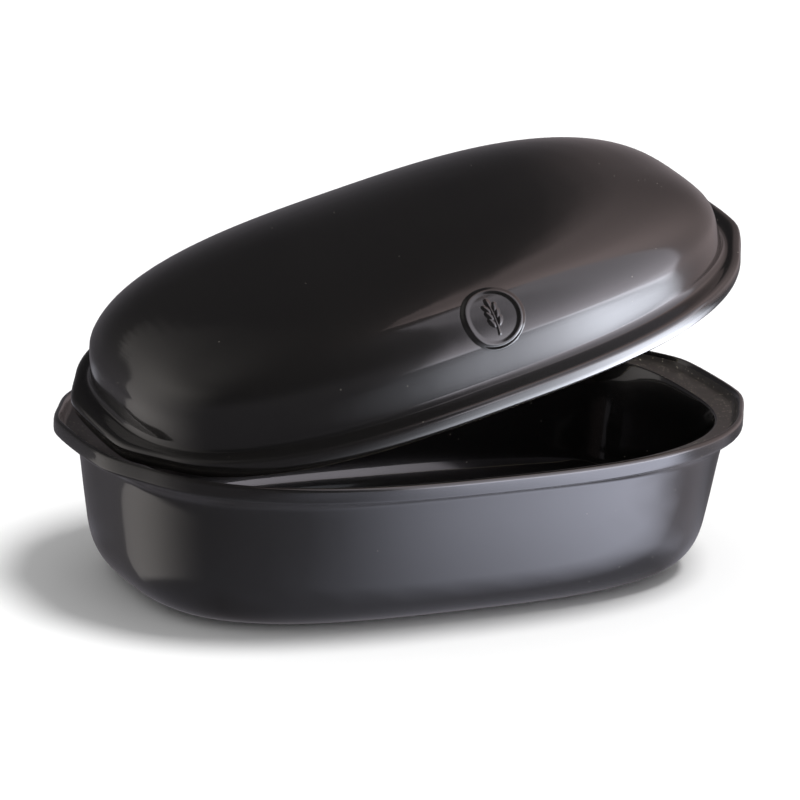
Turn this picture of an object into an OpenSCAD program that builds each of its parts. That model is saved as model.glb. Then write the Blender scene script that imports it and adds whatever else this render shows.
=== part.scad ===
// Oval bread cloche: a deep ceramic base with a recessed ledge, and a domed lid that rests on it.
// The lid is drawn tipped open, with its left end still on the ledge. Z is up, the base stands on Z = 0,
// X runs along the length and the front is at -Y.

/* [Base outline] */
// Overall length over the two wing handles
length = 340; // [300:1:380]
// Overall width over the lip
width = 210; // [190:1:240]
// Height of the rim at the middle of a long side
rim_h = 77.6; // [68:0.2:95]
// How much higher the rim stands at the two ends
rim_rise = 3; // [0:0.5:5]
// How late the rim starts to rise towards the ends
rise_power = 2.5; // [1.5:0.1:4]
// Squareness of the rim's outline, where 2 is an ellipse
rim_square = 2.8; // [2.2:0.05:3.4]
// How far each wing handle stands out past the oval
wing = 5; // [2:0.5:8]
// Half width of the full part of a wing
wing_half = 25.5; // [15:0.5:40]
// Width over which a wing fades into the oval
wing_fade = 29.5; // [20:0.5:45]

/* [Base body] */
// Inset of the body's wall from the rim's outer edge
body_in = 7.7; // [6:0.1:10]
// Squareness of the body's outline
body_square = 2.95; // [2.4:0.05:3.4]
// Inward lean of the wall for each mm of height
lean = 0.15; // [0.05:0.01:0.25]
// Size of the outer corner at the foot of the wall
corner = 30.6; // [24:0.2:36]
// Squareness of that corner, where 2 is a quarter circle
corner_square = 3; // [2:0.1:3.5]
// Thickness of the wall
wall = 6.3; // [5:0.1:8]
// Thickness of the floor
floor_t = 7; // [5:0.5:9]
// How far in from the wall the foot ring starts
foot_in = 17; // [14:0.5:20]
// Width of the foot ring
foot_w = 6; // [4:0.5:9]
// How high the underside lies inside the foot ring
foot_h = 1.2; // [0.6:0.1:2]

/* [Rim and ledge] */
// Height of the lip's outer face, with its rounded edges
lip_h = 8.3; // [7:0.1:10]
// Rounding of the lip's outer edges
lip_r = 1.6; // [1:0.1:2.2]
// Width of the lip's top
lip_w = 2.7; // [2.4:0.1:3]
// Depth of the ledge below the rim
ledge_d = 4.4; // [4.4:0.1:5.5]
// Inset of the ledge's outer edge from the rim's outer edge
ledge_out = 6.2; // [5.8:0.1:6.4]
// Inset of the ledge's inner edge
ledge_in = 13.7; // [13:0.1:15]

/* [Lid] */
// Inset of the lid's lip from the base's rim when shut
lid_in = 4.2; // [4:0.1:5]
// Gap under the lid's bottom edge when shut
seat_gap = 0.6; // [0.55:0.05:0.7]
// Height of the lid's lip
lid_lip_h = 9; // [8:0.1:11]
// Width of the lid's bottom edge
lid_edge_w = 7; // [6:0.1:8]
// Inset of the dome from the lip at the ends
dome_in_end = 6.9; // [6:0.1:9]
// Inset of the dome from the lip at the long sides
dome_in_side = 12.4; // [9:0.1:14]
// Height of the dome above the lip
dome_h = 48.7; // [42:0.1:54]
// Squareness of the dome's outline
dome_square = 2.88; // [2.4:0.01:3.2]
// Steepness of the dome's ends
steep_end = 3.9; // [3:0.05:5]
// Steepness of the dome's long sides
steep_side = 4.3; // [3:0.05:5]
// Flatness of the dome's top along the length
flat_long = 2.05; // [1.9:0.05:3]
// Flatness of the dome's top across the width
flat_wide = 2.1; // [1.9:0.05:3]
// Thickness of the lid's wall
lid_wall = 6.2; // [5:0.1:8]

/* [Raised disc] */
// Radius of the raised disc on the front of the lid
disc_r = 14.7; // [10:0.1:16]
// Height of the disc's centre above the lid's lip
disc_up = 30.6; // [26:0.2:32]
// Place of the disc's centre along the length
disc_x = 7; // [-10:0.5:10]
// Height of the disc's field above the dome
disc_field = 0.7; // [0.4:0.1:1.2]
// Height of the disc's border above the dome
disc_border = 1.1; // [0.6:0.1:1.6]

/* [Lid position] */
// Angle by which the lid is tipped open
tip_open = 15.6; // [0:0.2:30]
// Turn of the tipping axis from the width direction, seen from above
tip_turn = 20; // [0:1:30]
// Height of the tipping axis above the lid's bottom edge
tip_up = 26.5; // [24:0.1:30]
// How far in from the lid's edge the tipping axis lies
tip_in = 7.5; // [6:0.1:8]

/* [Hidden] */
ring_n = 96;
disc_n = 36;
climb_n = 12;
half_l = length / 2;
half_w = width / 2;
body_l = half_l - wing - body_in;
body_w = half_w - body_in;
dome_l = half_l - wing - lid_in - dome_in_end;
dome_w = half_w - lid_in - dome_in_side;
lid_z = rim_h - ledge_d + seat_gap;
dome_z = lid_z + lid_lip_h;
// height over which the cove under the base's lip meets the wall
cove_h = 5.2;
// height over which the lid's lip flares up into the dome
lid_cove = 6;
// height above the corner at which the wall is straight
wall_step = 8;
// rounding of the foot ring's outer edge
foot_edge = 0.5;
// rounding of the lip's inner edge
lip_edge = 0.4;
// depth below the ledge at which its inner edge has met the wall
ledge_root = 8;
// height above the lid's lip at which the inside of the dome starts
inner_step = 1.5;
// height over which the rim's rise dies out in the dome
rise_fade = 25;
// depth to which the raised disc is rooted in the lid's wall
disc_root = 2.5;
glaze_colour = [0.16, 0.15, 0.16];
corner_steps = [2, 6, 12, 20, 30, 42, 54];
// cove under the base's lip: step outwards in mm, and share of the cove's height below the lip
cove_steps = [[0, 1], [0.5, 0.6], [1.8, 0.25]];
// lower and upper edge of the base's lip: inset and height in shares of the edge's rounding
lip_low = [[2.2, 0], [0.9, 0.25], [0.2, 0.9], [0, 1.8]];
lip_high = [[0, 1.2], [0.15, 0.55], [0.5, 0.15], [1, 0]];
// slope down to the ledge: shares of its width and of the ledge's depth
slope_steps = [[0.22, 0.36], [0.55, 0.78], [0.8, 0.95], [1, 1]];
// rounded inner edge of the ledge: distance from the edge and depth below the ledge
ledge_edge = [[1.1, 0], [0.4, 0.3], [0, 1.2]];
// lid's lip at its bottom edge, which clears the slope beside the ledge: inset and height
lid_low = [[2.9, 0], [1.7, 0.4], [0.9, 1.6], [0.3, 3.1], [0, 4.5]];
// rounded top of the lid's lip: inset and height over the top
lid_high = [[0, -2.2], [0.4, -0.9], [1.5, -0.1], [3.4, 0.3]];
// inside of the lid's lip: inset from the bottom edge's width and height above it
lid_inside = [[5.2, 3.6], [3, 0.6], [2.2, 0]];
// flare at the foot of the dome: height and outward spread in shares of the flare's height
flare_steps = [[0.12, 0.42], [0.3, 0.23], [0.6, 0.08], [1, 0.01]];
// steps round the dome's side in degrees
arch_steps = [8, 14, 20, 27, 34, 41, 48, 55, 62, 69, 76, 83];

function ease(u) = let(c = min(1, max(0, u))) c * c * (3 - 2 * c);

function rise_at(x) = rim_rise * pow(min(1, abs(x) / half_l), rise_power);

// point i of an oval with half length a, half width b and squareness s
function oval(a, b, s, i) = let(
    c = cos(360 * i / ring_n),
    d = sin(360 * i / ring_n),
    r = pow(pow(abs(c) / a, s) + pow(abs(d) / b, s), -1 / s)
) [r * c, r * d];

function winged(p) = [
    p.x + sign(p.x) * wing * ease((wing_half + wing_fade - abs(p.y)) / wing_fade) * ease(abs(p.x) / wing_half),
    p.y
];

plain_rim = [for (i = [0:ring_n - 1]) oval(half_l - wing, half_w, rim_square, i)];
rim = [for (p = plain_rim) winged(p)];

// outward direction at each point of an outline
function outwards(v) = [for (i = [0:ring_n - 1]) let(
    t = v[(i + 1) % ring_n] - v[(i + ring_n - 1) % ring_n]
) [t.y, -t.x] / norm(t)];

rim_out = outwards(rim);
plain_out = outwards(plain_rim);

// ring set in from an outline, at height z above the foot, with the rim's rise
function inset_ring(v, out, inset, z) = [for (i = [0:ring_n - 1]) let(
    p = v[i] - inset * out[i]
) [p.x, p.y, z + rise_at(p.x)]];

function rim_ring(inset, z) = inset_ring(rim, rim_out, inset, z);

// the ledge's inner edge is a plain oval that leaves the wings out
function plain_ring(inset, z) = inset_ring(plain_rim, plain_out, inset, z);

// ring of the body, set in from its outer wall
function body_ring(inset, z) = let(
    s = inset + lean * (rim_h - z)
) [for (i = [0:ring_n - 1]) let(
    p = oval(body_l - s, body_w - s, body_square, i)
) [p.x, p.y, z]];

// share of a dome's half size that is left at height h under a top at height top
function arch(h, top, steep, flat) = pow(1 - pow(h / top, steep), 1 / flat);

// ring of the dome at height h above the lip, for a shell set in by t
function dome_ring(h, t, spread = 0) = let(
    a = (dome_l - t) * arch(h, dome_h - t, steep_end, flat_long) + spread,
    b = (dome_w - t) * arch(h, dome_h - t, steep_side, flat_wide) + spread
) [for (i = [0:ring_n - 1]) let(
    p = oval(a, b, dome_square, i)
) [p.x, p.y, dome_z + h + rise_at(p.x) * max(0, 1 - h / rise_fade)]];

// height for an even step round the dome's side
function arch_h(step, t) = (dome_h - t) * pow(sin(step), 2 / steep_side);

// ring on the rounded foot of the body, for a corner of size r above height z
function corner_ring(step, inset, r, z) = body_ring(
    inset + r * (1 - pow(cos(step), 2 / corner_square)),
    z + r * (1 - pow(sin(step), 2 / corner_square))
);

function reversed(v) = [for (i = [len(v) - 1:-1:0]) v[i]];

// skin over rings of n points, closed by a point at each end
module skin(first, rings, last, n) {
    points = concat([first], [for (r = rings) each r], [last]);
    top = len(points) - 1;
    polyhedron(
        points = points,
        faces = concat(
            [for (i = [0:n - 1]) [0, 1 + i, 1 + (i + 1) % n]],
            [for (k = [0:len(rings) - 2], i = [0:n - 1]) let(
                a = 1 + k * n + i,
                b = 1 + k * n + (i + 1) % n
            ) each [[a, a + n, b + n], [a, b + n, b]]],
            [for (i = [0:n - 1]) [top, top - n + (i + 1) % n, top - n + i]]
        ),
        convexity = 6
    );
}

foot_rings = [
    body_ring(foot_in + foot_w + foot_h, foot_h),
    body_ring(foot_in + foot_w, 0),
    body_ring(foot_in + foot_edge, 0)
];

outer_rings = [for (s = reversed(corner_steps)) corner_ring(s, 0, corner, 0)];

lip_rings = concat(
    [body_ring(0, corner + wall_step)],
    [for (p = cove_steps) body_ring(-p[0], rim_h - lip_h - cove_h * p[1])],
    [for (p = lip_low) rim_ring(lip_r * p[0], rim_h - lip_h + lip_r * p[1])],
    [for (p = lip_high) rim_ring(lip_r * p[0], rim_h - lip_r * p[1])],
    [rim_ring(lip_w - lip_edge, rim_h)]
);

ledge_rings = concat(
    [rim_ring(lip_w, rim_h - lip_edge)],
    [for (p = slope_steps) rim_ring(lip_w + (ledge_out - lip_w) * p[0], rim_h - ledge_d * p[1])],
    [for (p = ledge_edge) plain_ring(ledge_in - p[0], rim_h - ledge_d - p[1])],
    [body_ring(wall, rim_h - ledge_d - ledge_root)]
);

inner_rings = [for (s = [0, each corner_steps, 66, 80]) corner_ring(s, wall, corner - wall, floor_t)];

module base_dish() {
    color(glaze_colour)
    skin(
        [0, 0, foot_h],
        concat(foot_rings, outer_rings, lip_rings, ledge_rings, inner_rings),
        [0, 0, floor_t],
        ring_n
    );
}

lid_inner_rings = concat(
    [for (s = reversed(arch_steps)) dome_ring(arch_h(s, lid_wall), lid_wall)],
    [dome_ring(inner_step, lid_wall)],
    [for (p = lid_inside) rim_ring(lid_in + lid_edge_w + p[0], lid_z + p[1])]
);

lid_lip_rings = concat(
    [for (p = lid_low) rim_ring(lid_in + p[0], lid_z + p[1])],
    [for (p = lid_high) rim_ring(lid_in + p[0], dome_z + p[1])]
);

lid_outer_rings = concat(
    [for (p = flare_steps) dome_ring(lid_cove * p[0], 0, lid_cove * p[1])],
    [for (s = arch_steps) dome_ring(arch_h(s, 0), 0)]
);

// point of the dome's front at height h above the lip, and the way up the front there
function front(h) = [0, -dome_w * arch(h, dome_h, steep_side, flat_wide), dome_z + h];

function front_up(h) = (front(h + 0.01) - front(h - 0.01)) / 0.02;

// height reached by walking s mm up the front of the dome from height h, in n steps
function climb(h, s, n) = n == 0 ? h : climb(h + s / n / norm(front_up(h)), s - s / n, n - 1);

// ring on the front of the dome, of radius r about the disc's centre, lifted off it by up
function disc_ring(r, up) = [for (i = [0:disc_n - 1]) let(
    x = disc_x - r * sin(360 * i / disc_n),
    h = climb(disc_up, r * cos(360 * i / disc_n), climb_n),
    t = front_up(h)
) front(h) + [x, 0, 0] + up * [0, -t.z, t.y] / norm(t)];

module raised_disc() {
    back = disc_ring(0, -disc_root)[0];
    face = disc_ring(0, disc_field)[0];
    skin(
        back,
        [
            disc_ring(disc_r, -disc_root),
            disc_ring(disc_r, disc_border * 0.4),
            disc_ring(disc_r * 0.96, disc_border),
            disc_ring(disc_r * 0.86, disc_border),
            disc_ring(disc_r * 0.8, disc_field),
            disc_ring(disc_r * 0.4, disc_field)
        ],
        face,
        disc_n
    );
}

// the lid tips about an axis above the part of its edge that stays on the ledge
tip_dir = [-cos(tip_turn), -sin(tip_turn)];
lid_edge = rim_ring(lid_in, lid_z);
reach = [for (p = lid_edge) p.x * tip_dir.x + p.y * tip_dir.y];
tip_foot = lid_edge[search(max(reach), reach)[0]];
tip_point = tip_foot + [-tip_in * tip_dir.x, -tip_in * tip_dir.y, tip_up];

module domed_lid() {
    color(glaze_colour)
    translate(tip_point)
    rotate(a = tip_open, v = [sin(tip_turn), -cos(tip_turn), 0])
    translate(-tip_point)
    union() {
        skin(
            [0, 0, dome_z + dome_h - lid_wall],
            concat(lid_inner_rings, lid_lip_rings, lid_outer_rings),
            [0, 0, dome_z + dome_h],
            ring_n
        );
        raised_disc();
    }
}

base_dish();
domed_lid();
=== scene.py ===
import math
import bmesh
import bpy
from mathutils import Matrix, Vector


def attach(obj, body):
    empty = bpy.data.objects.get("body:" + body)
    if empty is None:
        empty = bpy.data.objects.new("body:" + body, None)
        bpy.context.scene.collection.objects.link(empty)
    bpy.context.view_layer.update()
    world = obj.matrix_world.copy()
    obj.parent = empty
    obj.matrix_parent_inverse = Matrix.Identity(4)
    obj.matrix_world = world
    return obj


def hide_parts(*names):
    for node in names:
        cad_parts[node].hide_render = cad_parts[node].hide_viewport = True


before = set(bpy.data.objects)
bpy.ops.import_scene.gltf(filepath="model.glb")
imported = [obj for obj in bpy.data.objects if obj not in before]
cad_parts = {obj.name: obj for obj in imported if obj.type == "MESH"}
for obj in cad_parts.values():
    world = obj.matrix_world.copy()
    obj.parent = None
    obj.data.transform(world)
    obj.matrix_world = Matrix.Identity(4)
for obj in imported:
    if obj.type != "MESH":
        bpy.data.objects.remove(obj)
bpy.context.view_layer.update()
print("frame loaded")

mm = 0.001
ringCount = 240  # points round every ring of the dish and the dome

# Sizes are in millimetres and match the solids, but the dome and the flare at its foot are a touch slimmer.
# A curve is a row of pairs that its loop explains, and steps along an arch are in degrees.
rim = {
    "halfLength": 170.0, "halfWidth": 105.0, "height": 77.6, "square": 2.8,
    "rise": 3.0, "risePower": 2.5, "wing": 5.0, "wingHalf": 25.5, "wingFade": 29.5,
}
base = {
    "wallIn": 7.7, "square": 2.95, "lean": 0.15, "corner": 30.6, "cornerSquare": 3.0, "wall": 6.3,
    "floor": 7.0, "footIn": 17.0, "footWide": 6.0, "footHigh": 1.2, "footEdge": 0.5, "wallStep": 8.0,
    "lipHigh": 8.3, "lipRound": 1.6, "lipWide": 2.7, "lipEdge": 0.4, "cove": 5.2,
    "ledgeDeep": 4.4, "ledgeOut": 6.2, "ledgeIn": 13.7, "ledgeRoot": 8.0,
    "cornerSteps": (54, 48, 42, 36, 30, 25, 20, 16, 12, 9, 6, 4, 2),
    "floorSteps": (0, 2, 6, 12, 20, 30, 42, 54, 66, 80),
    "coveCurve": ((0.0, 1.0), (0.5, 0.6), (1.8, 0.25)),
    "lipUnder": ((2.2, 0.0), (0.9, 0.25), (0.2, 0.9), (0.0, 1.8)),
    "lipOver": ((0.0, 1.2), (0.15, 0.55), (0.5, 0.15), (1.0, 0.0)),
    "ledgeSlope": ((0.22, 0.36), (0.55, 0.78), (0.8, 0.95)),
    "ledgeBend": ((1.1, 0.0), (0.4, 0.3), (0.0, 1.2)),
}
lid = {
    "inset": 4.2, "seatGap": 0.6, "lipHigh": 9.0, "edgeWide": 7.0, "endInset": 6.9, "sideInset": 12.4,
    "height": 48.6, "square": 2.88, "steepEnd": 3.9, "steepSide": 4.3, "flatLong": 2.05, "flatWide": 2.1,
    "wall": 6.2, "flare": 4.5, "riseFade": 25.0, "innerStep": 1.5,
    "tipTurn": 20.0, "tipOpen": 15.6, "tipPoint": (-156.083, -28.4361, 103.006),
    "innerSteps": (83, 76, 69, 62, 55, 48, 41, 34, 27, 20, 14, 8),
    "outerSteps": (
        8, 11, 14, 17, 20, 23.5, 27, 31, 34, 38, 41, 45, 48,
        52, 55, 59, 62, 66, 69, 72.5, 76, 79.5, 83, 86, 88,
    ),
    "innerLip": ((5.2, 3.6), (3.0, 0.6), (2.2, 0.0)),
    "outerLip": ((2.9, 0.0), (1.7, 0.4), (0.9, 1.6), (0.3, 3.1), (0.0, 4.5)),
    "topLip": ((0.0, -2.2), (0.4, -0.9), (1.5, -0.1), (3.4, 0.3)),
    "flareCurve": ((0.12, 0.42), (0.3, 0.23), (0.6, 0.08), (1.0, 0.01)),
}


def ease(u):
    c = min(1.0, max(0.0, u))
    return c * c * (3.0 - 2.0 * c)


# grows from 0 to 1 along a span given as (start, length)
def fade(value, span):
    return ease((value - span[0]) / span[1])


def riseAt(x):
    return rim["rise"] * min(1.0, abs(x) / rim["halfLength"]) ** rim["risePower"]


# point i of an oval with half length a and half width b
def oval(a, b, square, i):
    angle = 2.0 * math.pi * i / ringCount
    c, s = math.cos(angle), math.sin(angle)
    r = ((abs(c) / a) ** square + (abs(s) / b) ** square) ** (-1.0 / square)
    return r * c, r * s


# points and outward directions of the rim's outline, with its wings standing out that far
def rimOutline(wing):
    points, outs = [], []
    for i in range(ringCount):
        x, y = oval(rim["halfLength"] - rim["wing"], rim["halfWidth"], rim["square"], i)
        reach = ease((rim["wingHalf"] + rim["wingFade"] - abs(y)) / rim["wingFade"])
        reach *= ease(abs(x) / rim["wingHalf"])
        points.append(Vector((x + math.copysign(wing * reach, x), y)))
    for i in range(ringCount):
        along = points[(i + 1) % ringCount] - points[i - 1]
        outs.append(Vector((along.y, -along.x)).normalized())
    return list(zip(points, outs))


wingedRim = rimOutline(rim["wing"])
plainRim = rimOutline(0.0)


def rimRing(inset, z, outline=wingedRim):
    ring = []
    for point, out in outline:
        p = point - inset * out
        ring.append(Vector((p.x, p.y, z + riseAt(p.x))))
    return ring


bodyLong = rim["halfLength"] - rim["wing"] - base["wallIn"]
bodyWide = rim["halfWidth"] - base["wallIn"]


# ring of the body, set in from its outer wall
def bodyRing(inset, z):
    s = inset + base["lean"] * (rim["height"] - z)
    ring = []
    for i in range(ringCount):
        x, y = oval(bodyLong - s, bodyWide - s, base["square"], i)
        ring.append(Vector((x, y, z)))
    return ring


# ring on the rounded foot of the body, for a corner of that size above height z
def cornerRing(step, inset, size, z):
    power = 2.0 / base["cornerSquare"]
    turn = math.radians(step)
    inwards, up = 1.0 - math.cos(turn) ** power, 1.0 - math.sin(turn) ** power
    return bodyRing(inset + size * inwards, z + size * up)


domeLong = rim["halfLength"] - rim["wing"] - lid["inset"] - lid["endInset"]
domeWide = rim["halfWidth"] - lid["inset"] - lid["sideInset"]
lidFoot = rim["height"] - base["ledgeDeep"] + lid["seatGap"]
domeFoot = lidFoot + lid["lipHigh"]


# share of the dome's half size that is left at height h under a top at that height
def arch(h, top, steep, flat):
    return max(0.0, 1.0 - (h / top) ** steep) ** (1.0 / flat)


def domeHalf(h, inset):
    top = lid["height"] - inset
    return (
        (domeLong - inset) * arch(h, top, lid["steepEnd"], lid["flatLong"]),
        (domeWide - inset) * arch(h, top, lid["steepSide"], lid["flatWide"]),
    )


# ring of the dome at height h above the lip, for a shell set in by inset
def domeRing(h, inset=0.0, spread=0.0):
    a, b = domeHalf(h, inset)
    ring = []
    for i in range(ringCount):
        x, y = oval(a + spread, b + spread, lid["square"], i)
        ring.append(Vector((x, y, domeFoot + h + riseAt(x) * max(0.0, 1.0 - h / lid["riseFade"]))))
    return ring


def archLevel(step, inset):
    return (lid["height"] - inset) * math.sin(math.radians(step)) ** (2.0 / lid["steepSide"])


# centripetal curve between p1 and p2
def curvePoint(p0, p1, p2, p3, t):
    def gap(a, b):
        return max(1e-4, math.sqrt((b - a).length))
    t1 = gap(p0, p1)
    t2 = t1 + gap(p1, p2)
    t3 = t2 + gap(p2, p3)
    s = t1 + t * (t2 - t1)
    a1 = p0 * ((t1 - s) / t1) + p1 * (s / t1)
    a2 = p1 * ((t2 - s) / (t2 - t1)) + p2 * ((s - t1) / (t2 - t1))
    a3 = p2 * ((t3 - s) / (t3 - t2)) + p3 * ((s - t2) / (t3 - t2))
    b1 = a1 * ((t2 - s) / t2) + a2 * (s / t2)
    b2 = a2 * ((t3 - s) / (t3 - t1)) + a3 * ((s - t1) / (t3 - t1))
    return b1 * ((t2 - s) / (t2 - t1)) + b2 * ((s - t1) / (t2 - t1))


# the same ring met from the far side of its pole
def across(ring):
    half = len(ring) // 2
    return ring[half:] + ring[:half]


# Bands are (ring, finish, steps): each band runs from its ring to the next, or to the last pole.
# One step keeps a band straight, more steps bend it on a smooth curve.
def smoothBands(first, bands, last, firstSteps):
    rings = [ring for ring, finish, steps in bands]
    count = len(rings[0])
    full = [across(rings[0]), [first] * count] + rings + [[last] * count, across(rings[-1])]
    plan = [(bands[0][1], firstSteps)] + [(finish, steps) for ring, finish, steps in bands]
    fine, finishes = [], []
    for k, (finish, steps) in enumerate(plan):
        four = full[k:k + 4]
        for step in range(steps):
            t = step / steps
            fine.append([curvePoint(*points, t) for points in zip(*four)] if step else four[1])
            finishes.append(finish)
    return fine[1:], finishes


# a closed skin: a fan round the first pole, walls drawn up from ring to ring, and a fan round the last pole
def drawSkin(bm, first, rings, finishes, last):
    pole, *loop = bmesh.ops.create_circle(
        bm, cap_ends=True, cap_tris=True, segments=len(rings[0]), radius=1.0,
    )["verts"]
    pole.co = first
    faces = list(pole.link_faces)
    for ring, finish in zip(rings, finishes):
        if ring is not rings[0]:
            edges = [bm.edges.get(pair) for pair in zip(loop, loop[1:] + loop[:1])]
            drawn = bmesh.ops.extrude_edge_only(bm, edges=edges)["geom"]
            faces = [item for item in drawn if isinstance(item, bmesh.types.BMFace)]
            copies = {item.co.to_tuple(): item for item in drawn if isinstance(item, bmesh.types.BMVert)}
            loop = [copies[vert.co.to_tuple()] for vert in loop]
        for vert, point in zip(loop, ring):
            vert.co = point
        for face in faces:
            face.material_index = finish
    edges = [bm.edges.get(pair) for pair in zip(loop, loop[1:] + loop[:1])]
    cap = bmesh.ops.edgeloop_fill(bm, edges=edges)["faces"]
    pole = bmesh.ops.poke(bm, faces=cap)["verts"][0]
    pole.co = last
    for face in pole.link_faces:
        face.material_index = finishes[-1]


def linkObject(name, mesh):
    obj = bpy.data.objects.new(name, mesh)
    bpy.context.scene.collection.objects.link(obj)
    return obj


def meshObject(name, bm, placing=None):
    bmesh.ops.recalc_face_normals(bm, faces=bm.faces)
    bmesh.ops.transform(bm, matrix=Matrix.Scale(mm, 4) @ (placing or Matrix()), verts=bm.verts)
    for face in bm.faces:
        face.smooth = True
    mesh = bpy.data.meshes.new(name)
    bm.to_mesh(mesh)
    bm.free()
    return linkObject(name, mesh)


# linear colour from an sRGB hex code
def linear(code):
    values = [int(code[i:i + 2], 16) / 255.0 for i in (0, 2, 4)]
    return [v / 12.92 if v <= 0.04045 else ((v + 0.055) / 1.055) ** 2.4 for v in values] + [1.0]


# one node with its settings; an input takes a value, or the socket that it is linked to
def addNode(tree, kind, at, settings=None, inputs=None):
    node = tree.nodes.new(kind)
    node.location = at
    for key, value in (settings or {}).items():
        setattr(node, key, value)
    for key, value in (inputs or {}).items():
        if isinstance(value, bpy.types.NodeSocket):
            tree.links.new(value, node.inputs[key])
        else:
            node.inputs[key].default_value = value
    return node


def newMaterial(name):
    material = bpy.data.materials.new(name)
    material.use_nodes = True
    tree = material.node_tree
    tree.nodes.clear()
    return material, tree


# Each look's cloud, ripple, grain and dot sizes are in millimetres. A real speck is about 0.1 to 0.3 mm, and
# dots and grain are drawn as coarse as they need to show. A dot's share is how many cells of its spacing
# hold one, at the two ends of dotSpan along x.
dotSpan = (40.0, 150.0)

# Stoneware dipped in a charcoal gloss glaze and fired: near black, with a hard clear mirror on top of a
# softer one, a slow ripple from the run of the glaze, and pale pin specks that gather to the right.
glazeLook = {
    "dark": "121111", "pale": "171615", "speck": "8d8780", "rough": 0.26, "coat": 1.0, "coatRough": 0.04,
    "specular": 0.30, "cloud": 38.0, "ripple": 16.0, "rippleDepth": 0.05, "grain": 1.1, "grainDepth": 0.004,
    "dotSpacing": 4.0, "dotSize": 0.26, "dotShare": (0.03, 0.4),
}
# The same glaze wiped thin on the ledge: browner and duller, and full of specks of the clay below.
ledgeLook = {
    "dark": "211f1d", "pale": "3a3633", "speck": "a59c8e", "rough": 0.42, "coat": 0.35, "coatRough": 0.16,
    "specular": 0.4, "cloud": 6.0, "ripple": 3.0, "rippleDepth": 0.06, "grain": 0.7, "grainDepth": 0.02,
    "dotSpacing": 1.5, "dotSize": 0.3, "dotShare": (0.4, 0.5),
}
# Bare fired clay, wiped clean where a piece stands in the kiln: pale, dead matt and sandy to the touch.
clayLook = {"pale": "d8cab0", "dark": "b7a586", "rough": 0.82, "grain": 0.5, "grainDepth": 0.03, "cloud": 9.0}


# light dots at random places, as a mask
def addDots(tree, place, at, look):
    x, y = at
    cells = addNode(tree, "ShaderNodeTexVoronoi", (x, y), None, {
        "Vector": place, "Scale": 1.0 / (look["dotSpacing"] * mm), "Randomness": 0.9,
    })
    edge = look["dotSize"] / look["dotSpacing"]
    dot = addNode(tree, "ShaderNodeMapRange", (x + 200, y), {"interpolation_type": "SMOOTHSTEP"}, {
        "Value": cells.outputs["Distance"], "From Min": edge * 1.25, "From Max": edge * 0.6,
        "To Min": 0.0, "To Max": 1.0,
    })
    parts = addNode(tree, "ShaderNodeSeparateColor", (x + 200, y - 240), None, {
        "Color": cells.outputs["Color"],
    })
    axes = addNode(tree, "ShaderNodeSeparateXYZ", (x, y - 480), None, {"Vector": place})
    along = addNode(tree, "ShaderNodeMapRange", (x + 200, y - 480), None, {
        "Value": axes.outputs["X"], "From Min": dotSpan[0] * mm, "From Max": dotSpan[1] * mm,
        "To Min": look["dotShare"][0], "To Max": look["dotShare"][1],
    })
    chosen = addNode(tree, "ShaderNodeMath", (x + 400, y - 240), {"operation": "LESS_THAN"}, {
        0: parts.outputs["Red"], 1: along.outputs["Result"],
    })
    both = addNode(tree, "ShaderNodeMath", (x + 600, y), {"operation": "MULTIPLY"}, {
        0: dot.outputs["Result"], 1: chosen.outputs["Value"],
    })
    return both.outputs["Value"]


def glazeMaterial(name, look):
    material, tree = newMaterial(name)
    place = addNode(tree, "ShaderNodeTexCoord", (-1300, 0)).outputs["Object"]
    cloud = addNode(tree, "ShaderNodeTexNoise", (-1000, 300), None, {
        "Vector": place, "Scale": 1.0 / (look["cloud"] * mm), "Detail": 3.0,
    })
    tone = addNode(tree, "ShaderNodeMix", (-200, 300), {"data_type": "RGBA"}, {
        0: cloud.outputs[0], 6: linear(look["dark"]), 7: linear(look["pale"]),
    })
    speckled = addNode(tree, "ShaderNodeMix", (100, 300), {"data_type": "RGBA"}, {
        0: addDots(tree, place, (-1000, -50), look), 6: tone.outputs[2], 7: linear(look["speck"]),
    })
    ripple = addNode(tree, "ShaderNodeTexNoise", (-1000, -500), None, {
        "Vector": place, "Scale": 1.0 / (look["ripple"] * mm), "Detail": 1.0,
    })
    wave = addNode(tree, "ShaderNodeBump", (300, -500), None, {
        "Strength": 1.0, "Distance": look["rippleDepth"] * mm, "Height": ripple.outputs[0],
    })
    grain = addNode(tree, "ShaderNodeTexNoise", (-1000, -750), None, {
        "Vector": place, "Scale": 1.0 / (look["grain"] * mm), "Detail": 2.0,
    })
    fine = addNode(tree, "ShaderNodeBump", (500, -500), None, {
        "Strength": 1.0, "Distance": look["grainDepth"] * mm, "Height": grain.outputs[0],
        "Normal": wave.outputs["Normal"],
    })
    shader = addNode(tree, "ShaderNodeBsdfPrincipled", (750, 0), None, {
        "Base Color": speckled.outputs[2], "Roughness": look["rough"], "Coat Weight": look["coat"],
        "Coat Roughness": look["coatRough"], "Specular IOR Level": look["specular"],
        "Normal": fine.outputs["Normal"], "Coat Normal": fine.outputs["Normal"],
    })
    addNode(tree, "ShaderNodeOutputMaterial", (1100, 0), None, {"Surface": shader.outputs["BSDF"]})
    return material


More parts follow.
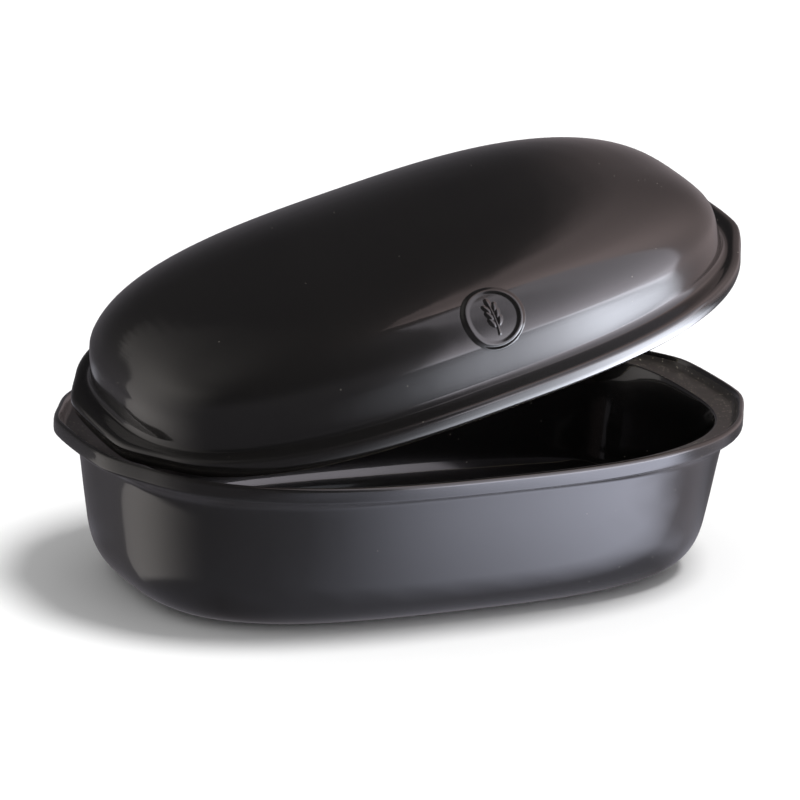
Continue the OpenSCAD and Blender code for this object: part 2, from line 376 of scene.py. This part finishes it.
def clayMaterial(name, look):
    material, tree = newMaterial(name)
    place = addNode(tree, "ShaderNodeTexCoord", (-1000, 0)).outputs["Object"]
    cloud = addNode(tree, "ShaderNodeTexNoise", (-700, 200), None, {
        "Vector": place, "Scale": 1.0 / (look["cloud"] * mm), "Detail": 5.0,
    })
    tone = addNode(tree, "ShaderNodeMix", (-200, 200), {"data_type": "RGBA"}, {
        0: cloud.outputs[0], 6: linear(look["dark"]), 7: linear(look["pale"]),
    })
    grain = addNode(tree, "ShaderNodeTexNoise", (-700, -200), None, {
        "Vector": place, "Scale": 1.0 / (look["grain"] * mm), "Detail": 3.0,
    })
    rough = addNode(tree, "ShaderNodeBump", (200, -200), None, {
        "Strength": 1.0, "Distance": look["grainDepth"] * mm, "Height": grain.outputs[0],
    })
    shader = addNode(tree, "ShaderNodeBsdfPrincipled", (700, 0), None, {
        "Base Color": tone.outputs[2], "Roughness": look["rough"], "Normal": rough.outputs["Normal"],
    })
    addNode(tree, "ShaderNodeOutputMaterial", (1100, 0), None, {"Surface": shader.outputs["BSDF"]})
    return material


finishes = [
    glazeMaterial("charcoal gloss glaze", glazeLook),
    glazeMaterial("thin speckled glaze", ledgeLook),
    clayMaterial("bare fired clay", clayLook),
]
gloss, thin, clay = 0, 1, 2
print("materials ready")


# from the middle of the underside out, up the wall, over the lip and ledge, and down inside to the floor
def baseBands():
    z, deep, lipRound = rim["height"], base["ledgeDeep"], base["lipRound"]
    lipFoot = z - base["lipHigh"]
    slope = base["ledgeOut"] - base["lipWide"]
    footInner = base["footIn"] + base["footWide"]
    bands = [
        (bodyRing(footInner + base["footHigh"], base["footHigh"]), gloss, 2),
        (bodyRing(footInner, 0.0), clay, 1),
        (bodyRing(base["footIn"] + base["footEdge"], 0.0), gloss, 2),
    ]
    for step in base["cornerSteps"]:
        bands.append((cornerRing(step, 0.0, base["corner"], 0.0), gloss, 2))
    bands.append((bodyRing(0.0, base["corner"] + base["wallStep"]), gloss, 4))
    for out, share in base["coveCurve"]:  # mm out from the wall, share of the cove below the lip
        bands.append((bodyRing(-out, lipFoot - base["cove"] * share), gloss, 4))
    for share, up in base["lipUnder"]:  # shares of the lip's rounding in and up
        bands.append((rimRing(lipRound * share, lipFoot + lipRound * up), gloss, 1 if share == 0.0 else 4))
    for share, down in base["lipOver"]:
        bands.append((rimRing(lipRound * share, z - lipRound * down), gloss, 4))
    bands.append((rimRing(base["lipWide"] - base["lipEdge"], z), gloss, 3))
    bands.append((rimRing(base["lipWide"], z - base["lipEdge"]), gloss, 4))
    for share, down in base["ledgeSlope"]:  # shares of the slope's width in and of its depth down
        bands.append((rimRing(base["lipWide"] + slope * share, z - deep * down), thin, 4))
    bands.append((rimRing(base["ledgeOut"], z - deep), thin, 1))
    for inset, down in base["ledgeBend"]:  # mm out from the ledge's inner edge and down
        bands.append((rimRing(base["ledgeIn"] - inset, z - deep - down, plainRim), gloss, 4))
    bands.append((bodyRing(base["wall"], z - deep - base["ledgeRoot"]), gloss, 4))
    for step in base["floorSteps"]:
        bands.append((cornerRing(step, base["wall"], base["corner"] - base["wall"], base["floor"]), gloss, 4))
    return bands


# from the middle of the hollow out, over the lip's flat underside, and up outside to the top
def lidBands():
    bands = []
    for step in lid["innerSteps"]:
        bands.append((domeRing(archLevel(step, lid["wall"]), lid["wall"]), gloss, 3))
    bands.append((domeRing(lid["innerStep"], lid["wall"]), gloss, 4))
    for inset, up in lid["innerLip"]:  # mm in from the lip's flat edge and up
        ring = rimRing(lid["inset"] + lid["edgeWide"] + inset, lidFoot + up)
        bands.append((ring, clay, 1) if up == 0.0 else (ring, gloss, 4))
    for inset, up in lid["outerLip"]:  # mm in from the lip's side and up
        ring = rimRing(lid["inset"] + inset, lidFoot + up)
        bands.append((ring, clay if up == 0.0 else gloss, 1 if inset == 0.0 else 4))
    for inset, up in lid["topLip"]:
        bands.append((rimRing(lid["inset"] + inset, domeFoot + up), gloss, 4))
    for up, out in lid["flareCurve"]:  # shares of the flare up and out
        bands.append((domeRing(lid["flare"] * up, 0.0, lid["flare"] * out), gloss, 4))
    for step in lid["outerSteps"]:
        bands.append((domeRing(archLevel(step, 0.0)), gloss, 2))
    return bands


# the raised disc: heights in mm, fades along the share of its radius, and a plain ear of wheat on its field
disc = {
    "radius": 14.7, "level": 30.6, "across": 7.0, "field": 0.7, "border": 1.1, "outer": 16.8, "edge": -0.05,
    "sunk": 0.3, "root": 2.0, "rings": 56, "spokes": 144, "nudge": 0.01, "climbSteps": 24,
    "borderFade": (0.76, 0.12), "edgeFade": (0.91, 0.18), "sunkFade": (1.09, 0.05), "earFade": (-0.76, 0.08),
}
ear = {
    "high": 0.5, "topGrain": 6.6, "rows": (-2.6, 0.7, 4.0), "side": 2.0, "lean": 30.0, "grain": (1.25, 2.5),
    "stem": (-9.0, 5.0), "stemHalf": 0.5, "stemShare": 0.8, "stemFade": 0.8,
}


# point on the front of the dome at that place across and height above the lip
def frontPoint(x, h):
    a, b = domeHalf(h, 0.0)
    y = -b * max(0.0, 1.0 - (abs(x) / a) ** lid["square"]) ** (1.0 / lid["square"])
    return Vector((x, y, domeFoot + h))


def upFront(x, h):
    return frontPoint(x, h + disc["nudge"]) - frontPoint(x, h - disc["nudge"])


# height reached by walking that far up the front of the dome from the disc's centre
def climb(distance):
    h = disc["level"]
    for k in range(disc["climbSteps"]):
        up = upFront(disc["across"], h) / (2.0 * disc["nudge"])
        h += distance / disc["climbSteps"] / up.length
    return h


# seven grains and a stem in low relief; u runs across and v up
def earHeight(u, v):
    grains = [(0.0, ear["topGrain"], 0.0)]
    for v0 in ear["rows"]:
        grains += [(ear["side"], v0, -ear["lean"]), (-ear["side"], v0, ear["lean"])]
    wide, long = ear["grain"]
    high = 0.0
    for u0, v0, lean in grains:
        c, s = math.cos(math.radians(lean)), math.sin(math.radians(lean))
        p, q = c * (u - u0) + s * (v - v0), -s * (u - u0) + c * (v - v0)
        high = max(high, 1.0 - (p / wide) ** 2 - (q / long) ** 2)
    stemLow, stemTop = ear["stem"]
    if stemLow < v < stemTop:
        stem = ear["stemShare"] * (1.0 - (u / ear["stemHalf"]) ** 2)
        high = max(high, stem * fade(v, (stemLow, ear["stemFade"])))
    return ear["high"] * high ** 0.5


def discHeight(r, u, v):
    share = r / disc["radius"]
    high = disc["field"] + (disc["border"] - disc["field"]) * fade(share, disc["borderFade"])
    high += (disc["edge"] - high) * fade(share, disc["edgeFade"])
    high -= disc["sunk"] * fade(share, disc["sunkFade"])
    return high + earHeight(u, v) * fade(-share, disc["earFade"])


# the disc follows the dome, and its edge runs into the wall
def drawDisc(bm):
    def surfacePoint(u, v):
        x, h = disc["across"] + u, climb(v)
        here = frontPoint(x, h)
        alongX = frontPoint(x + disc["nudge"], h) - frontPoint(x - disc["nudge"], h)
        out = alongX.cross(upFront(x, h)).normalized()
        return here + discHeight(math.hypot(u, v), u, v) * out, here - disc["root"] * out

    loops = []
    for k in range(1, disc["rings"] + 1):
        r = disc["outer"] * k / disc["rings"]
        turns = [2.0 * math.pi * i / disc["spokes"] for i in range(disc["spokes"])]
        loops.append([surfacePoint(r * math.sin(turn), r * math.cos(turn)) for turn in turns])
    rings = [[front for front, behind in loop] for loop in loops]
    rings.append([behind for front, behind in loops[-1]])
    middle, back = surfacePoint(0.0, 0.0)
    drawSkin(bm, middle, rings, [gloss] * (len(rings) + 1), back)


def addFinishes(obj):
    for material in finishes:
        obj.data.materials.append(material)


bm = bmesh.new()
first, last = Vector((0.0, 0.0, base["footHigh"])), Vector((0.0, 0.0, base["floor"]))
fine, bandFinishes = smoothBands(first, baseBands(), last, 4)
drawSkin(bm, first, fine, bandFinishes, last)
for vert in bm.verts:
    vert.co.z = max(0.0, vert.co.z)  # the smooth curve dips a hair under the foot
basePiece = meshObject("baseDish", bm)
addFinishes(basePiece)
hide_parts("base_dish")
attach(basePiece, "base")
print("base ready")

# the lid is made shut and then tipped open
bm = bmesh.new()
first = Vector((0.0, 0.0, domeFoot + lid["height"] - lid["wall"]))
last = Vector((0.0, 0.0, domeFoot + lid["height"]))
fine, bandFinishes = smoothBands(first, lidBands(), last, 3)
drawSkin(bm, first, fine, bandFinishes, last)
drawDisc(bm)
tipPoint = Matrix.Translation(Vector(lid["tipPoint"]))
turn = math.radians(lid["tipTurn"])
tipAxis = Vector((math.sin(turn), -math.cos(turn), 0.0))
tipped = tipPoint @ Matrix.Rotation(math.radians(lid["tipOpen"]), 4, tipAxis) @ tipPoint.inverted()
lidPiece = meshObject("domedLid", bm, tipped)
addFinishes(lidPiece)
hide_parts("domed_lid")
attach(lidPiece, "lid")
print("lid ready")


# The studio is what the glaze mirrors: a shell of light by direction, in degrees round (az) and above (el)
# the object, and a lit table under it by place, in millimetres. Fades are (start, length) pairs.
cool, blue, mauve = (0.95, 0.985, 1.09), (0.95, 0.98, 1.17), (1.03, 0.97, 1.06)
warm, cream = (1.17, 0.93, 0.91), (1.05, 0.99, 0.94)
shell = {"radius": 3.0, "step": 2, "dim": 0.03, "haze": 0.1, "hazeFade": (5.0, 30.0)}
frontPanel = {
    "sides": (17.0, 64.0), "lean": 0.08, "sideSoft": 7.0, "ends": (-6.0, 82.0), "endSoft": 4.0,
    "share": 0.72, "shareFade": (18.0, 16.0), "plain": 0.9, "low": 2.6, "lowFall": 45.0,
    "lowest": 0.9, "lowestFall": 15.0, "horizon": 2.2, "horizonFade": (-1.0, 12.0),
}
rightPanel = {
    "sides": (64.0, 152.0), "sideSoft": 10.0, "ends": (-8.0, 88.0), "endSoft": 16.0,
    "low": 0.85, "highGain": 0.7, "highFade": (25.0, 50.0),
    "loss": 0.86, "highKeep": 0.3, "lossFade": (62.0, 85.0),
}
leftPanel = {
    "strength": 0.68, "grow": (-185.0, 65.0), "fall": (-120.0, 62.0),
    "highLoss": 0.72, "highFade": (32.0, 22.0), "topLoss": 0.28, "topFade": (50.0, 30.0),
    "edge": -139.0, "right": -40.0, "sideSoft": 2.5, "foot": (-38.0, 4.0),
    "highSlant": 35.0, "highSlantFade": (14.0, 34.0), "lowSlant": 12.0, "lowSlantFade": (14.0, 8.0),
}
lidTable = {
    "below": 2.0, "edge": (165.0, -250.0, 0.908, 0.418), "edgeFade": (-130.0, 260.0),
    "back": (350.0, -106.0, -0.539, -0.842), "backFade": (-140.0, 280.0),
    "near": 11.5, "loss": 5.9, "lossFade": (400.0, 600.0), "end": (1000.0, 1000.0),
    "spill": 1.2, "spillEdge": (-240.0, 240.0), "spillFront": (-60.0, 260.0), "spillStop": (-90.0, 100.0),
}
baseTable = {
    "below": 4.0, "edge": (50.0, -175.0, 0.947, 0.322), "edgeFade": (-140.0, 255.0),
    "back": (175.0, -100.0, -0.54, -0.84), "backFade": (-17.0, 58.0),
    "core": (120.0, 55.0), "coreRound": 43.0, "footFade": (-8.0, 18.0),
    "near": 2.85, "frontGain": 1.3, "frontFade": (95.0, 120.0),
    "spill": 0.24, "spillGain": 0.4, "spillGainFade": (150.0, 250.0), "spillLeft": (-260.0, 260.0),
    "spillFront": (-20.0, 80.0), "spillFoot": (-40.0, 36.0),
    "side": 0.16, "sideRight": (120.0, 80.0), "sideBack": (-260.0, 120.0), "sideFront": (10.0, 70.0),
}
tableGrid = {"corner": (-1500.0, -2700.0), "step": 30.0, "count": 140}


def tinted(strength, colour):
    return Vector([strength * c for c in colour])


# 1 between two limits, with soft edges
def window(value, limits, soft):
    return ease((value - limits[0]) / soft + 0.5) * ease((limits[1] - value) / soft + 0.5)


def studioGlow(az, el):
    glow = tinted(shell["dim"] + shell["haze"] * (1.0 - fade(el, shell["hazeFade"])), mauve)

    p, above = frontPanel, max(0.0, el)
    sides = (p["sides"][0] - p["lean"] * el, p["sides"][1])
    front = p["share"] + (1.0 - p["share"]) * fade(az, p["shareFade"])
    front *= window(az, sides, p["sideSoft"]) * window(el, p["ends"], p["endSoft"])
    glow += tinted(front * (p["plain"] + p["low"] * math.exp(-above / p["lowFall"])), mauve)
    lowest = p["lowest"] * math.exp(-above / p["lowestFall"])
    glow += tinted(front * (lowest + p["horizon"] * fade(-el, p["horizonFade"])), cool)

    p = rightPanel
    high = fade(el, p["highFade"])
    right = p["low"] + p["highGain"] * high
    right *= 1.0 - (p["loss"] - p["highKeep"] * high) * fade(az, p["lossFade"])
    right *= window(az, p["sides"], p["sideSoft"]) * window(el, p["ends"], p["endSoft"])
    glow += tinted(right, warm)

    p = leftPanel
    left = p["strength"] * fade(az, p["grow"]) * (1.0 - fade(az, p["fall"])) * fade(el, p["foot"])
    left *= 1.0 - p["highLoss"] * fade(el, p["highFade"]) - p["topLoss"] * fade(el, p["topFade"])
    slant = p["highSlant"] * fade(el, p["highSlantFade"]) + p["lowSlant"] * fade(-el, p["lowSlantFade"])
    left *= window(az, (p["edge"] - slant, p["right"]), p["sideSoft"])
    return glow + tinted(left, cream)


# how far inside a straight edge, which runs through (x0, y0) and faces along (nx, ny)
def inside(x, y, edge):
    x0, y0, nx, ny = edge
    return (x - x0) * nx + (y - y0) * ny


def lidTableGlow(x, y):
    t, far = lidTable, math.hypot(x, y)
    edge = inside(x, y, t["edge"])
    panel = t["near"] - t["loss"] * fade(far, t["lossFade"])
    panel *= fade(edge, t["edgeFade"]) * fade(inside(x, y, t["back"]), t["backFade"])
    spill = t["spill"] * fade(edge, t["spillEdge"]) * fade(-y, t["spillFront"])
    spill *= 1.0 - fade(edge, t["spillStop"])
    return tinted((panel + spill) * (1.0 - fade(far, t["end"])), cool)


def baseTableGlow(x, y):
    t = baseTable
    coreX, coreY = t["core"]
    out = math.hypot(max(0.0, abs(x) - coreX), max(0.0, abs(y) - coreY)) - t["coreRound"]  # past the foot
    panel = (t["near"] + t["frontGain"] * fade(-y, t["frontFade"])) * fade(out, t["footFade"])
    panel *= fade(inside(x, y, t["edge"]), t["edgeFade"]) * fade(inside(x, y, t["back"]), t["backFade"])
    spill = t["spill"] + t["spillGain"] * fade(-y, t["spillGainFade"])
    spill *= fade(x, t["spillLeft"]) * fade(-y, t["spillFront"]) * fade(out, t["spillFoot"])
    side = t["side"] * fade(x, t["sideRight"]) * fade(y, t["sideBack"]) * fade(-y, t["sideFront"])
    return tinted(panel + spill, blue) + tinted(side, warm)


# light from the mesh's own glow colours; a clear one lets what is behind it through as well
def glowMaterial(name, clear=False):
    material, tree = newMaterial(name)
    glow = addNode(tree, "ShaderNodeAttribute", (-400, 0), {"attribute_name": "glow"})
    lamp = addNode(tree, "ShaderNodeEmission", (0, 0), None, {
        "Color": glow.outputs["Color"], "Strength": 1.0,
    })
    light = lamp.outputs["Emission"]
    if clear:
        through = addNode(tree, "ShaderNodeBsdfTransparent", (0, -200))
        both = addNode(tree, "ShaderNodeAddShader", (400, 0), None, {0: light, 1: through.outputs["BSDF"]})
        light = both.outputs["Shader"]
    addNode(tree, "ShaderNodeOutputMaterial", (1100, 0), None, {"Surface": light})
    return material


# a grid bent to its place, with a colour at each of its points, that only the glaze sees
def glowObject(name, columns, rows, place, colour, material):
    bm = bmesh.new()
    bmesh.ops.create_grid(bm, x_segments=columns, y_segments=rows, size=0.5)
    cells = [(round((v.co.x + 0.5) * columns), round((v.co.y + 0.5) * rows)) for v in bm.verts]
    for vert, cell in zip(bm.verts, cells):
        vert.co = place(*cell)
    mesh = bpy.data.meshes.new(name)
    bm.to_mesh(mesh)
    bm.free()
    glow = mesh.color_attributes.new("glow", "FLOAT_COLOR", "POINT")
    for point, cell in zip(glow.data, cells):
        point.color = (*colour(*cell), 1.0)
    mesh.materials.append(material)
    obj = linkObject(name, mesh)
    for ray in ("camera", "diffuse", "transmission", "volume_scatter", "shadow"):
        setattr(obj, "visible_" + ray, False)
    return obj


# from the object towards a place round and above it
def direction(az, el):
    az, el = math.radians(az), math.radians(el)
    return Vector((math.sin(az) * math.cos(el), -math.cos(az) * math.cos(el), math.sin(el)))


def shellAngles(i, j):
    return shell["step"] * i - 180.0, shell["step"] * j - 90.0


def tablePlace(i, j):
    return [start + tableGrid["step"] * n for start, n in zip(tableGrid["corner"], (i, j))]


# each piece mirrors its own stretch of the lit table
def addTable(name, piece, colour, below):
    table = glowObject(
        name, tableGrid["count"], tableGrid["count"],
        lambda i, j: Vector((*tablePlace(i, j), -below)) * mm,
        lambda i, j: colour(*tablePlace(i, j)), tableLight,
    )
    receivers = bpy.data.collections.new(name + "Receivers")
    receivers.objects.link(piece)
    table.light_linking.receiver_collection = receivers


glowObject(
    "studioShell", 360 // shell["step"], 180 // shell["step"],
    lambda i, j: direction(*shellAngles(i, j)) * shell["radius"],
    lambda i, j: studioGlow(*shellAngles(i, j)), glowMaterial("studio glow"),
)
tableLight = glowMaterial("table glow", clear=True)
addTable("lidTable", lidPiece, lidTableGlow, lidTable["below"])
addTable("baseTable", basePiece, baseTableGlow, baseTable["below"])

# the floor is plain white, and the glaze doesn't see it
bm = bmesh.new()
bmesh.ops.create_grid(bm, x_segments=1, y_segments=1, size=12.0)
floorMesh = bpy.data.meshes.new("floor")
bm.to_mesh(floorMesh)
bm.free()
floorPiece = linkObject("floor", floorMesh)
floorPaint, floorTree = newMaterial("white floor")
floorDiffuse = addNode(floorTree, "ShaderNodeBsdfDiffuse", (0, 0), None, {"Color": linear("f4f4f4")})
addNode(floorTree, "ShaderNodeOutputMaterial", (400, 0), None, {"Surface": floorDiffuse.outputs["BSDF"]})
floorMesh.materials.append(floorPaint)
floorPiece.visible_glossy = False

# strengths of the world for what it lights, for the camera and for the glaze
room = {"daylight": 0.58, "backdrop": 1.2, "mirrored": 0.05}
softKey = {"energy": 2.3, "angle": 22.0, "azimuth": 60.0, "elevation": 72.0, "distance": 2.0}

world = bpy.data.worlds.new("studio")
bpy.context.scene.world = world
world.use_nodes = True
sky = world.node_tree
sky.nodes.clear()
rays = addNode(sky, "ShaderNodeLightPath", (-600, 200)).outputs
lights = []
for n, strength in enumerate(room.values()):
    shade = {"Color": (1.0, 1.0, 1.0, 1.0), "Strength": strength}
    lights.append(addNode(sky, "ShaderNodeBackground", (0, -200 * n), None, shade).outputs["Background"])
seen = addNode(sky, "ShaderNodeMixShader", (300, 0), None, {
    0: rays["Is Camera Ray"], 1: lights[0], 2: lights[1],
})
pick = addNode(sky, "ShaderNodeMixShader", (600, 0), None, {
    0: rays["Is Glossy Ray"], 1: seen.outputs["Shader"], 2: lights[2],
})
addNode(sky, "ShaderNodeOutputWorld", (900, 0), None, {"Surface": pick.outputs["Shader"]})

# a soft sun for the shadow at the left
sun = bpy.data.lights.new("softKey", "SUN")
sun.energy = softKey["energy"]
sun.angle = math.radians(softKey["angle"])
sunObject = linkObject("softKey", sun)
toSun = direction(softKey["azimuth"], softKey["elevation"])
aimed = toSun.to_track_quat("Z", "Y").to_matrix().to_4x4()
sunObject.matrix_world = Matrix.Translation(toSun * softKey["distance"]) @ aimed
sunObject.visible_glossy = False
print("studio ready")

# angles in degrees, distances in millimetres, and the aim's shift off the middle
shot = {
    "azimuth": -27.18, "elevation": 17.87, "roll": 3.21, "distance": 2668.5, "lens": 251.7, "sensor": 36.0,
    "middle": (0.0, 0.0, 60.0), "aimRight": -0.93, "aimUp": 21.9, "clipEnd": 100.0,
}


def placeCamera():
    az, roll = math.radians(shot["azimuth"]), math.radians(shot["roll"])
    back = direction(shot["azimuth"], shot["elevation"])
    right = Vector((math.cos(az), math.sin(az), 0.0))
    up = back.cross(right)
    right, up = math.cos(roll) * right + math.sin(roll) * up, math.cos(roll) * up - math.sin(roll) * right
    middle = Vector(shot["middle"])
    place = middle + shot["distance"] * back
    aim = middle + shot["aimRight"] * right + shot["aimUp"] * up
    zAxis = (place - aim).normalized()
    xAxis = up.cross(zAxis).normalized()
    yAxis = zAxis.cross(xAxis)
    data = bpy.data.cameras.new("camera")
    data.lens, data.sensor_width, data.clip_end = shot["lens"], shot["sensor"], shot["clipEnd"]
    camera = linkObject("camera", data)
    turned = Matrix((xAxis, yAxis, zAxis)).transposed().to_4x4()
    camera.matrix_world = Matrix.Translation(place * mm) @ turned
    bpy.context.scene.camera = camera


placeCamera()
bpy.context.scene.view_settings.view_transform = "Standard"
print("camera ready")
